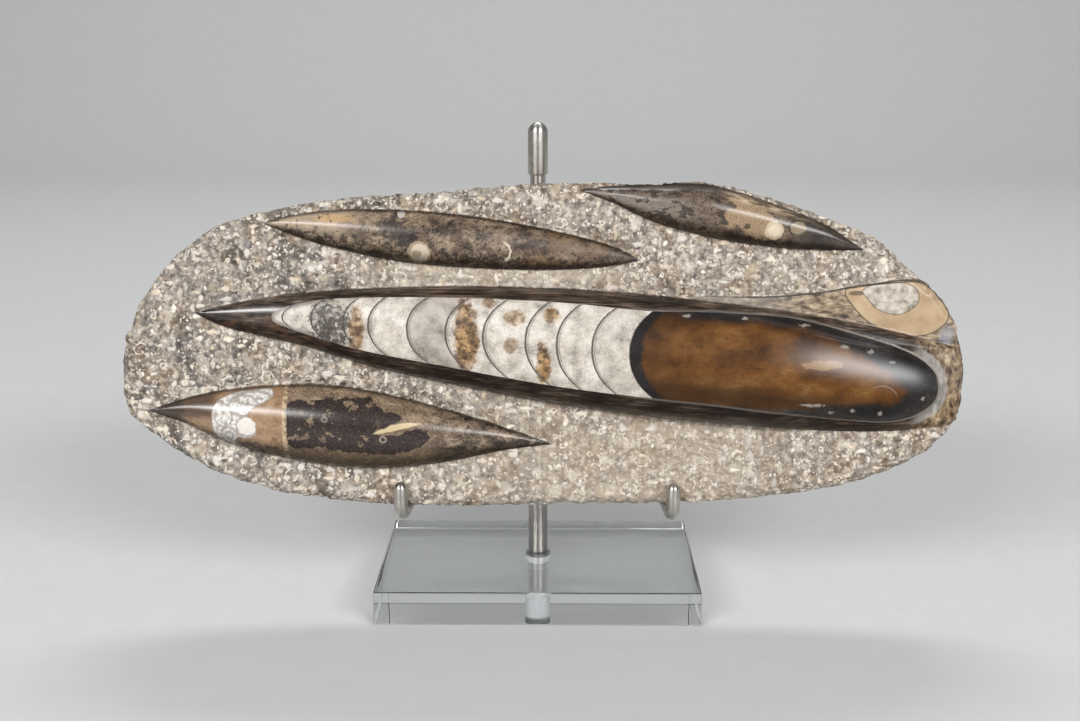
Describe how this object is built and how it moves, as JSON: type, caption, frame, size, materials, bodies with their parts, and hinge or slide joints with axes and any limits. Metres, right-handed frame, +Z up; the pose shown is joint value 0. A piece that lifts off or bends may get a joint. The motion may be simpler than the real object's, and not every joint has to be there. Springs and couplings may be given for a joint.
{
  "type": "orthoceras fossil plaque on stand",
  "caption": "Oval rock plaque with carved, polished orthoceras shells in relief, leaning on a steel post and cradle arms over a clear acrylic base.",
  "frame": {"origin": "on the surface the base stands on, under the centre of the whole object's bounding box", "axes": "+X to the right along the plaque's length, +Y to the back, from the carved face to the post, +Z up"},
  "size_m": [0.4949, 0.127, 0.2909],
  "materials": {
    "fossil_rock": "grey-taupe limestone full of pale shell fragments, hand-finished matt, with the carved shells polished in cream, brown and near-black",
    "clear_acrylic": "clear cast acrylic with polished faces and small polished chamfers; the drilled hole is frosted white",
    "brushed_steel": "satin stainless steel, brushed along its length",
    "dark_screw": "blackened steel, semi-gloss"
  },
  "bodies": {
    "root": {"fossil_slab": "fossil_rock", "base_block": "clear_acrylic", "post_tube": "brushed_steel", "post_rod": "brushed_steel", "post_cap": "brushed_steel", "foot_screw": "dark_screw", "cradle_collar": "brushed_steel", "collar_screw": "dark_screw", "cradle_arm_left": "brushed_steel", "cradle_arm_right": "brushed_steel"}
  },
  "joints": []
}
